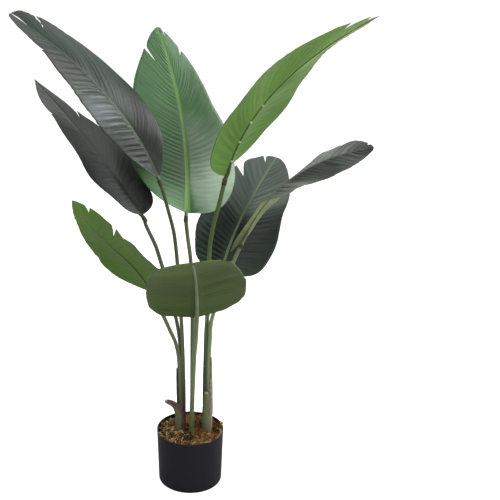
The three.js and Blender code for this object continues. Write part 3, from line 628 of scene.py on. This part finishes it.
# Materials
def new_material(name, roughness, specular):
    material = bpy.data.materials.new(name)
    material.use_nodes = True
    shader = material.node_tree.nodes["Principled BSDF"]
    shader.inputs["Roughness"].default_value = roughness
    shader.inputs["Specular IOR Level"].default_value = specular
    return material, material.node_tree, shader


def add_node(tree, kind, inputs=None, **settings):
    node = tree.nodes.new("ShaderNode" + kind)
    for key, value in settings.items():
        setattr(node, key, value)
    for key, value in (inputs or {}).items():
        if isinstance(value, bpy.types.NodeSocket):
            tree.links.new(value, node.inputs[key])
        else:
            node.inputs[key].default_value = value
    return node


def mix_colours(tree, factor, a, b, kind="MIX"):
    node = add_node(tree, "Mix", {0: factor, 6: a, 7: b}, data_type="RGBA", blend_type=kind)
    return node.outputs[2]


def stepped(tree, value, low, high, to_low=0.0, to_high=1.0):
    """A number mapped from one range to another, and held at its ends."""
    inputs = {"Value": value, "From Min": low, "From Max": high, "To Min": to_low, "To Max": to_high}
    return add_node(tree, "MapRange", inputs).outputs[0]


def combined(tree, a, b, operation="MULTIPLY"):
    return add_node(tree, "Math", {0: a, 1: b}, operation=operation).outputs[0]


def tinted(tree, colour, other, value, low, high, most=1.0):
    """A colour that turns to another one where a number passes from low to high."""
    return mix_colours(tree, stepped(tree, value, low, high, 0.0, most), colour, linear(other))


def object_place(tree):
    return add_node(tree, "TexCoord").outputs["Object"]


def attributes(tree, *names):
    return [add_node(tree, "Attribute", attribute_name=name).outputs["Fac"] for name in names]


def stretched(tree, source, scale):
    return add_node(tree, "Mapping", {"Vector": source, "Scale": scale}).outputs[0]


def noise(tree, vector, scale, detail=3.0, roughness=0.55):
    inputs = {"Vector": vector, "Scale": scale, "Detail": detail, "Roughness": roughness}
    return add_node(tree, "TexNoise", inputs).outputs[0]


def dressed(tree, shader, colour, heights, distance):
    """Gives a shader its colour, and bumps from heights as (socket, strength)."""
    tree.links.new(colour, shader.inputs["Base Color"])
    normal = None
    for height, strength in heights:
        inputs = {"Height": height, "Strength": strength, "Distance": distance}
        if normal is not None:
            inputs["Normal"] = normal
        normal = add_node(tree, "Bump", inputs).outputs[0]
    tree.links.new(normal, shader.inputs["Normal"])


def blade_material(name, main, stripe, leaf, upper):
    """Printed leaf cloth: streaks and fine veins across the blade, a stripe along the rib, and painted
    highlight and painted shade over the blade and its pleats.
    """
    rough = leaf["rough"] if upper else leaf["rough"] + 0.1
    material, tree, shader = new_material(name, rough, leaf["shine"] if upper else UNDER_SHINE)
    uv = add_node(tree, "UVMap", uv_map="UVMap").outputs[0]
    band, edge, ridge, painted_light = attributes(tree, "band", "edge", "ridge", "painted_light")
    streaks = noise(tree, stretched(tree, uv, (1.0, 0.10, 1.0)), 1.6, 4.0, 0.6)
    fine = noise(tree, stretched(tree, uv, (5.0, 0.12, 1.0)), 1.4, 2.0, 0.5)
    clouds = noise(tree, object_place(tree), 9.0, 2.0)
    seen = upper == leaf["seen_above"]
    # The painted highlight colour and the painted shade colour; a side that isn't seen takes ones made from
    # its own colour
    painted_highlight = leaf["painted_highlight"] if seen else [mix(c, 150, 0.35) for c in main]
    deep = leaf["deep"] if seen else [c * 0.5 for c in main]
    # Paler towards the painted highlight where the painted light is above 0, darker towards the painted
    # shade below 0
    colour = tinted(tree, linear(main), painted_highlight, painted_light, 0.0, 1.0)
    colour = tinted(tree, colour, deep, painted_light, 0.0, -1.0)
    depth = stepped(tree, streaks, 0.3, 0.72, 1 - leaf["print"], 1 + leaf["print"])
    # Painted highlight on the pleats' ridges and painted shade in their valleys
    depth = combined(tree, depth, stepped(tree, ridge, -1.0, 1.0, 1 - leaf["ridge_shading"], 1 + leaf["ridge_shading"]))
    depth = combined(tree, depth, stepped(tree, clouds, 0.4, 0.75, 1.04, 0.86))
    depth = combined(tree, depth, stepped(tree, fine, 0.35, 0.75, 1.05, 0.85))
    colour = mix_colours(tree, 1.0, colour, depth, "MULTIPLY")
    colour = tinted(tree, colour, [c * leaf["rim"] for c in main], edge, 0.97, 1.0, 0.8)
    colour = tinted(tree, colour, stripe, band, 1.25, 0.7)
    # The rib's bright middle: partly its own light green and partly a painted highlight
    if upper and "core" in leaf:
        colour = tinted(tree, colour, leaf["core"], band, 0.3, 0.12)
    uneven = stepped(tree, streaks, 0.3, 0.75, rough - 0.05, rough + 0.08)
    tree.links.new(uneven, shader.inputs["Roughness"])
    inputs = {"Vector": uv, "Scale": 1.25, "Distortion": 1.2, "Detail": 1.0, "Detail Scale": 0.6}
    wave = add_node(tree, "TexWave", inputs, bands_direction="X").outputs[1]
    grain = noise(tree, stretched(tree, uv, (14.0, 6.0, 1.0)), 3.0, 2.0)
    dressed(tree, shader, colour, [(wave, 0.35), (fine, 0.5), (grain, 0.12)], 0.0008)
    return material


def stalk_material(name, top, middle, foot):
    """Green moulded stem that turns brown towards the foot."""
    material, tree, shader = new_material(name, 0.45, 0.4)
    place = object_place(tree)
    height = add_node(tree, "SeparateXYZ", {0: place}).outputs[2]
    streaks = noise(tree, stretched(tree, place, (1.0, 1.0, 0.12)), 60.0, 3.0)
    clouds = noise(tree, place, 14.0, 2.0)
    colour = tinted(tree, linear(top), middle, height, 0.62, 0.30)
    uneven = combined(tree, height, stepped(tree, streaks, 0.3, 0.7, -0.05, 0.05), "ADD")
    colour = tinted(tree, colour, foot, uneven, 0.30, 0.16)
    darker = [c * 0.72 for c in middle]
    colour = tinted(tree, colour, darker, streaks, 0.5, 0.75, 0.55)
    colour = tinted(tree, colour, darker, clouds, 0.5, 0.8, 0.3)
    dressed(tree, shader, colour, [(streaks, 0.4)], 0.001)
    return material


def plain_material(
    name, colour, roughness, specular=0.4, scale=80.0, spread=0.2, distance=0.0005, detail=4.0,
    span=(0.35, 0.65),
):
    """One colour with a fine mottle and a fine bump."""
    material, tree, shader = new_material(name, roughness, specular)
    spots = noise(tree, object_place(tree), scale, detail)
    tint = tinted(tree, linear(colour), [c * (1 - spread) for c in colour], spots, *span)
    dressed(tree, shader, tint, [(spots, 0.3)], distance)
    return material


# Leaves
clip_material = plain_material("clip", (186, 196, 158), 0.5)
for name, leaf in LEAVES.items():
    points, triangles, facts = blade_surface(name, leaf)
    sheet, faces, kind = thick_sheet(points, triangles, BLADE_THICKNESS)
    start, reach, across, ridge, painted_light = facts.T
    band = np.abs(across) / mix(*leaf["band"], start)
    uv = np.stack([start * leaf_length(leaf) / 10, across / 10], -1)
    materials = [
        blade_material("upper_" + name, leaf["upper"], leaf["stripe"], leaf, True),
        blade_material("under_" + name, leaf["under"], leaf["rib"], leaf, False),
        plain_material("rib_" + name, leaf["rib"], 0.45, 0.4, 30.0, 0.2, 0.001, 3.0, (0.4, 0.7)),
        clip_material,
    ]
    rib_points, rib_faces = rib_tube(leaf)
    first_clip = len(faces) + len(rib_faces)
    if "clips" in leaf:
        rib_points, rib_faces = joined([(rib_points, rib_faces), clip_rings(leaf, leaf["clips"])])
    chosen = np.concatenate([np.minimum(kind, 1), np.full(len(rib_faces), 2)])
    chosen[first_clip:] = 3
    flat = np.concatenate([kind == 2, np.zeros(len(rib_faces), bool)])
    upper_side = {"band": band, "edge": np.abs(reach), "ridge": ridge, "painted_light": painted_light}
    # Seen from below a ridge is a valley, so the painted highlight and painted shade on the pleats swap
    under_side = upper_side | {"ridge": -ridge}
    extra = np.zeros(len(rib_points))
    values = {key: np.concatenate([upper_side[key], under_side[key], extra]) for key in upper_side}
    uv = np.concatenate([uv, uv, np.zeros((len(rib_points), 2))])
    points, faces = joined([(sheet, faces), (rib_points, rib_faces)])
    piece = add_piece("blade_" + name, points, faces, materials, chosen, flat, uv, values)
    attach(piece, "root")
    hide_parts("leaf_" + name)

# Stalks with their collars
collar_material = plain_material("collar", (80, 80, 50), 0.6, 0.3, 260.0, 0.45, 0.001)
for name, leaf in LEAVES.items():
    material = stalk_material("stalk_" + name, *leaf["stem"])
    parts = [stalk_tube(name, leaf)]
    if name != "front":
        parts.append(collar_tube(name, leaf))
    points, faces = joined(parts)
    chosen = np.repeat(np.arange(len(parts)), [len(part[1]) for part in parts])
    piece = add_piece("stem_" + name, points, faces, [material, collar_material], chosen)
    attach(piece, "root")
    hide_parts("stalk_" + name)


# Pot
def turned(profile, sides):
    """A mesh turned about Z from a profile of [radius, height] that starts and ends on the axis."""
    profile = np.asarray(profile, float)
    angle = turns(sides)
    radius, height = profile[1:-1].T[..., None]
    points = np.stack([radius * np.cos(angle), radius * np.sin(angle), height + 0 * angle], -1)
    ends = [[0, 0, profile[0, 1]], [0, 0, profile[-1, 1]]]
    rows = len(profile) - 2
    faces = grid_quads(rows, sides).tolist() + end_caps(rows, sides)
    return np.concatenate([points.reshape(-1, 3), ends]), faces


def arc(centre, radius, first, last, steps):
    """Points on an arc as [radius, height], angles in degrees from the outward direction."""
    angles = np.radians(np.linspace(first, last, steps))
    return [[centre[0] + radius * math.cos(a), centre[1] + radius * math.sin(a)] for a in angles]


def wall_points(first, last, count, inset=0):
    """Points of the pot's leaning wall as [radius, height], between two heights."""
    heights = np.linspace(first, last, count)
    return [[mix(FOOT_RADIUS, RIM_RADIUS, height / POT_HEIGHT) - inset, height] for height in heights]


pot_profile = [[0, 0], [FOOT_RADIUS - 12, 0]]
pot_profile += arc((FOOT_RADIUS - FOOT_ROUNDING, FOOT_ROUNDING), FOOT_ROUNDING, -90, 0, 8)
pot_profile += wall_points(12, POT_HEIGHT - 4, 10)
rim_rounding = POT_WALL / 2
pot_profile += arc((RIM_RADIUS - rim_rounding, POT_HEIGHT - rim_rounding), rim_rounding, 0, 180, 9)
pot_profile += wall_points(POT_HEIGHT - 6, POT_FLOOR + 2, 8, POT_WALL)
pot_profile += [[FOOT_RADIUS - POT_WALL - 3, POT_FLOOR], [0, POT_FLOOR]]
points, faces = turned(pot_profile, POT_SIDES)
pot_material = plain_material("pot_black", (27, 25, 31), 0.6, 0.12, 300.0, 0.1, 0.0003)
# The rim's top is a lighter brown, a painted highlight along it
rim_highlight_material = plain_material("pot_rim_highlight", (56, 48, 42), 0.45, 0.4, 300.0, 0.3, 0.0003)
on_rim = np.array([points[face, 2].min() for face in faces]) > POT_HEIGHT - 0.75
piece = add_piece("pot_shell", points, faces, [pot_material, rim_highlight_material], on_rim)
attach(piece, "root")
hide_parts("pot")


# Filling, with hollows as [x, y, depth, width]
HOLLOWS = [(30, -50, 9, 90), (63, -32, 8, 70)]


def bed_height(x, y):
    """The lumpy top of the filling."""
    dome = mix(BED_TOP + 1.0, BED_TOP - 1.0, smooth_step(30, 80, np.hypot(x, y)))
    broad = 2.4 * np.sin(x * 0.13 + 1.0) * np.sin(y * 0.16) + 1.6 * np.sin(x * 0.31 + y * 0.22)
    sunk = 0
    for at_x, at_y, deep, wide in HOLLOWS:
        sunk = sunk + deep * np.exp(-((x - at_x) ** 2 + (y - at_y) ** 2) / wide)
    return dome + broad + 0.9 * np.sin(y * 0.5 - x * 0.4) - sunk


angle = turns(BED_SIDES)
rings = np.linspace(1, BED_RADIUS, BED_RINGS)[:, None]
x, y = rings * np.cos(angle), rings * np.sin(angle)
points = np.stack([x, y, bed_height(x, y)], -1)
points = np.concatenate([points, points[-1:]])
points[-1, :, 2] = BED_FOOT
ring = np.arange(BED_SIDES)
faces = grid_quads(BED_RINGS + 1, BED_SIDES)[:, [0, 3, 2, 1]].tolist()
faces += [ring.tolist(), (BED_RINGS * BED_SIDES + ring[::-1]).tolist()]
bed_material = plain_material("bed_brown", (42, 29, 17), 0.9, 0.1, 120.0, 0.5, 0.002)
piece = add_piece("bed_core", points.reshape(-1, 3), faces, [bed_material])
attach(piece, "root")
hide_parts("fibre_bed")

FIBRE_COLOURS = {
    "brown": ((106, 70, 40), 560),
    "rust": ((148, 90, 48), 420),
    "ochre": ((150, 110, 56), 380),
    "straw": ((216, 184, 130), 300),
    "olive": ((110, 100, 38), 440),
    "dark": ((34, 24, 16), 760),
}
# Fibres that spill over the rim as [degrees, millimetres out of the middle, count of each colour]
SPILLS = [(14, 79, 10), (-32, 77, 10), (-58, 77, 4), (205, 77, 4)]
FIBRE_POINTS = 11
FIBRE_SIDES = 4
PATCHES = 9
FIBRE_REACH = 79


def fibre_mesh(seed, count):
    """Curled fibres that lie on the filling, all in one mesh."""
    rng = np.random.default_rng(seed)

    def drawn(low, high):
        return rng.uniform(low, high, count)

    middle_x, middle_y = FIBRE_REACH * rng.uniform(-1, 1, (2, PATCHES))
    patch = rng.integers(0, PATCHES, count)
    x = middle_x[patch] + rng.normal(0, 13, count)
    y = middle_y[patch] + rng.normal(0, 13, count)
    r, theta = np.hypot(x, y), np.arctan2(y, x)
    alone = (r > FIBRE_REACH - 1) | (drawn(0, 1) < 0.35)
    r[alone] = FIBRE_REACH * np.sqrt(rng.uniform(0, 1, alone.sum()))
    length = drawn(10, 38)
    heading = drawn(0, 2 * math.pi)
    lift = drawn(-1.5, 6.5)
    limit = np.full(count, RIM_RADIUS - POT_WALL - 1.6)
    low = np.zeros(count)
    first = 0
    for degrees, out, number in SPILLS:
        chosen = slice(first, first + number)
        theta[chosen] = math.radians(degrees) + rng.normal(0, 0.05, number)
        heading[chosen] = theta[chosen] + rng.normal(0, 0.7, number)
        r[chosen] = out - 4
        length[chosen] = rng.uniform(12, 22, number)
        limit[chosen] = RIM_RADIUS + 3
        low[chosen] = POT_HEIGHT + 1.2
        first += number
    bend = rng.normal(0, 2.4, count)[:, None]
    wiggle, beats, shift = (drawn(*span)[:, None] for span in ((0.4, 1.7), (1.0, 2.6), (0, 2 * math.pi)))
    t = np.linspace(0, 1, FIBRE_POINTS)
    turn = heading[:, None] + bend * t + wiggle * np.sin(2 * math.pi * beats * t + shift)
    step = (length / FIBRE_POINTS)[:, None]
    x = (r * np.cos(theta))[:, None] + np.cumsum(np.cos(turn) * step, 1)
    y = (r * np.sin(theta))[:, None] + np.cumsum(np.sin(turn) * step, 1)
    pull = np.minimum(1, limit[:, None] / np.maximum(np.hypot(x, y), 1e-6))
    x, y = x * pull, y * pull
    curl = np.sin(math.pi * t * drawn(0.6, 2.2)[:, None] + drawn(0, 3)[:, None])
    z = bed_height(x, y) + lift[:, None] + drawn(0.5, 3.5)[:, None] * curl
    z = np.where(np.hypot(x, y) > 78.5, np.maximum(z, low[:, None]), z)
    centres = np.stack([x, y, z], -1)
    ahead = unit(np.gradient(centres, axis=1))
    side = unit(np.cross(ahead, [0.1, 0.2, 1.0]))
    other = np.cross(ahead, side)
    taper = 0.35 + 0.65 * np.sin(math.pi * np.clip(t, 0.04, 0.96))
    radius = (drawn(0.4, 1.1)[:, None] * taper)[..., None, None]
    angle = turns(FIBRE_SIDES)[:, None]
    around = side[:, :, None] * np.cos(angle) + other[:, :, None] * np.sin(angle) * 0.55
    points = (centres[:, :, None] + around * radius).reshape(-1, 3)
    each = FIBRE_POINTS * FIBRE_SIDES
    caps = [[3, 2, 1, 0], [each - 4, each - 3, each - 2, each - 1]]
    one = np.concatenate([grid_quads(FIBRE_POINTS, FIBRE_SIDES), caps])
    faces = (one + (np.arange(count) * each)[:, None, None]).reshape(-1, 4)
    return points, faces


for number, (name, (colour, count)) in enumerate(FIBRE_COLOURS.items()):
    material, tree, shader = new_material("fibre_" + name, 0.8, 0.3)
    shader.inputs["Base Color"].default_value = linear(colour)
    points, faces = fibre_mesh(100 + number, count)
    piece = add_piece("fibres_" + name, points, faces, [material])
    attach(piece, "root")

# The hidden block keeps its solid
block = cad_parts["growing_block"]
block.data.materials.clear()
block.data.materials.append(plain_material("block_grey", (120, 112, 100), 0.9, 0.2, 60.0, 0.2, 0.001))

# Sheaths. The short ones are tubes with stations of [x, y, z, half width, half depth].
HOOKED = [
    (-24, -4, 112, 13, 7.5), (-24, -4, 130, 13, 7.5), (-25, -4, 158, 12.4, 7.5), (-26, -4, 176, 11.6, 7.2),
    (-29.5, -5, 192, 10, 6.8), (-35, -6, 203, 8.8, 6.3), (-42, -8, 211, 7.8, 5.6),
    (-49, -9, 215.5, 7.2, 5.2), (-56, -10, 218.5, 6.4, 4.8), (-62, -11, 221, 4, 3.2),
]
BLUNT = [
    (41.5, -6, 112, 12.2, 8), (41.5, -6, 130, 12.2, 8), (41, -6, 165, 11.7, 7.4), (40.3, -5, 200, 10, 6.4),
    (40, -4, 226, 7.4, 5.4), (40, -4, 236, 6.4, 4.6), (40, -4, 241, 4.6, 3.4),
]
SHEATH_SIDES = 28
SHEATH_STEPS = 70
SHEATH_THICKNESS = 2.2
SHEATH_CLEARANCE = -0.4


def sheath_tube(stations, seed):
    knots = np.linspace(0, 1, len(stations))
    fine = np.linspace(0, 1, SHEATH_STEPS)
    values = np.stack([np.interp(fine, knots, column) for column in np.transpose(stations)], -1)
    for _ in range(3):
        values[1:-1] = (values[:-2] + 2 * values[1:-1] + values[2:]) / 4
    wide, deep = values[:, 3], values[:, 4]
    angle = turns(SHEATH_SIDES)
    ridges = 1 + 0.03 * np.cos(9 * angle + seed) + 0.02 * np.cos(17 * angle)
    return tube(values[:, :3], wide[:, None] * ridges, SHEATH_SIDES, (1, 0, 0), deep / wide)


def clasping_sheet(leaf, top, middle, half_angle, gaps, seed):
    """A dry sheath that clasps a stalk, narrower towards its top. Angles are in degrees.

    gaps are pairs of a height and how far the sheath's middle stands off the stalk there.
    """
    share = np.linspace(0, 1, 200)
    centres = stalk_centres(leaf, share)
    height = np.linspace(BED_TOP - 12, top, 50)
    x, y, at = (np.interp(height, centres[:, 2], values)[:, None] for values in (*centres.T[:2], share))
    rise = np.clip((height - 90) / (top - 90), 0, 1)[:, None]
    across = np.linspace(-1, 1, 17)
    angle = np.radians(middle + half_angle * (1 - rise**3 * 0.9) * across)
    stalk = mix(leaf["foot_radius"], leaf["end_radius"], at)
    folds = 0.25 * np.cos(across * 9 + seed) + 0.3 * wander(seed, 9, rise)
    gap = np.interp(height, *np.transpose(gaps))[:, None] * (1 - across**2)
    distance = stalk + SHEATH_CLEARANCE + SHEATH_THICKNESS / 2 + folds + gap
    upright = height[:, None] + 3 * np.sin(across * 4 + seed) * rise**8
    points = np.stack([x + distance * np.cos(angle), y + distance * np.sin(angle), upright], -1)
    triangles = triangles_of(grid_quads(len(height), len(across), closed=False))
    points, faces, _ = thick_sheet(points.reshape(-1, 3), triangles, SHEATH_THICKNESS)
    return points, faces


def sheath_material(name, left, right, tip):
    """Dry leaf skin: one colour to the left, one to the right and a paler tip."""
    material, tree, shader = new_material(name, 0.55, 0.3)
    side, rise = attributes(tree, "side", "rise")
    streaks = noise(tree, stretched(tree, object_place(tree), (1.0, 1.0, 0.15)), 110.0, 3.0)
    uneven = combined(tree, side, stepped(tree, streaks, 0.3, 0.7, -0.5, 0.5), "ADD")
    colour = tinted(tree, linear(left), right, uneven, -0.3, 0.4)
    colour = tinted(tree, colour, tip, rise, 0.92, 0.98)
    colour = mix_colours(tree, 1.0, colour, stepped(tree, streaks, 0.35, 0.7, 1.15, 0.7), "MULTIPLY")
    dressed(tree, shader, colour, [(streaks, 0.5)], 0.001)
    return material


SHORT_SHEATHS = {
    "hooked": (HOOKED, (92, 92, 66), (74, 55, 50), (152, 138, 118)),
    "blunt": (BLUNT, (84, 92, 62), (108, 100, 80), (158, 144, 120)),
}
sheaths = {}
for name, (stations, *colours) in SHORT_SHEATHS.items():
    points, faces = sheath_tube(stations, 2.0)
    count = (len(points) - 2) // SHEATH_SIDES
    side = np.tile(np.cos(turns(SHEATH_SIDES)), count)
    rise = np.repeat(np.linspace(0, 1, count), SHEATH_SIDES)
    values = {"side": np.append(side, [0, 0]), "rise": np.append(rise, [0, 1])}
    material = sheath_material("sheath_" + name, *colours)
    sheaths[name] = add_piece("dry_" + name, points, faces, [material], attributes=values)

# Tall sheaths as the leaf whose stalk they clasp, top, middle angle, half angle, gaps and colour
TALL_SHEATHS = {
    "tall_left": ("low_left", 300, 185, 60, ((190, 0), (250, 2), (300, 1.4)), (62, 48, 38)),
    "tall_right": (
        "low_right", 330, -24, 62, ((140, 1.5), (180, 4.6), (230, 4.2), (270, 3.2), (330, 1)),
        (146, 138, 120),
    ),
}
for number, (name, (holder, top, middle, half_angle, gaps, colour)) in enumerate(TALL_SHEATHS.items()):
    points, faces = clasping_sheet(LEAVES[holder], top, middle, half_angle, gaps, number + 3.0)
    material = plain_material("sheath_" + name, colour, 0.6, 0.2, 90.0, 0.24, 0.001)
    sheaths[name] = add_piece("dry_" + name, points, faces.tolist(), [material])
for name, piece in sheaths.items():
    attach(piece, "root")
    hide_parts("sheath_" + name)

# Floor, light and camera
FLOOR_SIZE = 80
bpy.ops.mesh.primitive_plane_add(size=FLOOR_SIZE)
floor = bpy.context.object
floor.name = "floor"
material, tree, shader = new_material("floor_white", 0.9, 0.1)
shader.inputs["Base Color"].default_value = (0.6, 0.6, 0.6, 1)
shader.inputs["Emission Color"].default_value = (1, 1, 1, 1)
seen = add_node(tree, "LightPath").outputs["Is Camera Ray"]
tree.links.new(stepped(tree, seen, 0.0, 1.0, 0.0, 0.75), shader.inputs["Emission Strength"])
floor.data.materials.append(material)

# The backdrop shows white, and lights the plant as a studio does, more from above than from the front
SKY_ABOVE = 0.8
SKY_BESIDE = 0.4
SKY_IN_FRONT = 0.2
world = bpy.data.worlds.new("studio")
bpy.context.scene.world = world
world.use_nodes = True
sky = world.node_tree
shown = add_node(sky, "LightPath").outputs["Is Camera Ray"]
direction = add_node(sky, "SeparateXYZ", {0: add_node(sky, "TexCoord").outputs["Generated"]}).outputs
from_above = stepped(sky, direction[2], 0.1, 0.9, SKY_BESIDE, SKY_ABOVE)
in_front = stepped(sky, direction[1], -0.2, -0.9, 1.0, SKY_IN_FRONT / SKY_BESIDE)
studio = combined(sky, from_above, in_front)
strength = add_node(sky, "Mix", {0: shown, 2: studio, 3: 1.0}).outputs[0]
background = sky.nodes["Background"]
background.inputs[0].default_value = (1, 1, 1, 1)
sky.links.new(strength, background.inputs[1])

# Soft lights as [turn from the front towards the right, height angle, distance, size, watts]
SOFT_LIGHTS = {
    "right_back": (118, 26, 2.6, 1.5, 60),
    "right_front": (28, 18, 2.8, 1.2, 46),
    "left": (-82, 52, 2.6, 1.2, 30),
}
LIT_POINT = Vector((0, 0, 0.75))
for name, (turn, rise, distance, size, watts) in SOFT_LIGHTS.items():
    data = bpy.data.lights.new(name, "AREA")
    data.shape = "DISK"
    data.size = size
    data.energy = watts
    light = in_scene(name, data)
    turn, rise = math.radians(turn), math.radians(rise)
    outward = Vector((math.sin(turn) * math.cos(rise), -math.cos(turn) * math.cos(rise), math.sin(rise)))
    light.location = LIT_POINT + outward * distance
    light.rotation_mode = "QUATERNION"
    light.rotation_quaternion = outward.to_track_quat("Z", "Y")

camera_data = bpy.data.cameras.new("camera")
camera_data.lens = CAMERA_LENS
camera_data.sensor_width = CAMERA_SENSOR
camera_data.shift_x = CAMERA_SHIFT
camera = in_scene("camera", camera_data)
camera.location = CAMERA_PLACE
camera.rotation_euler = (CAMERA_TILT, 0, 0)
bpy.context.scene.camera = camera
bpy.context.scene.view_settings.view_transform = "Standard"
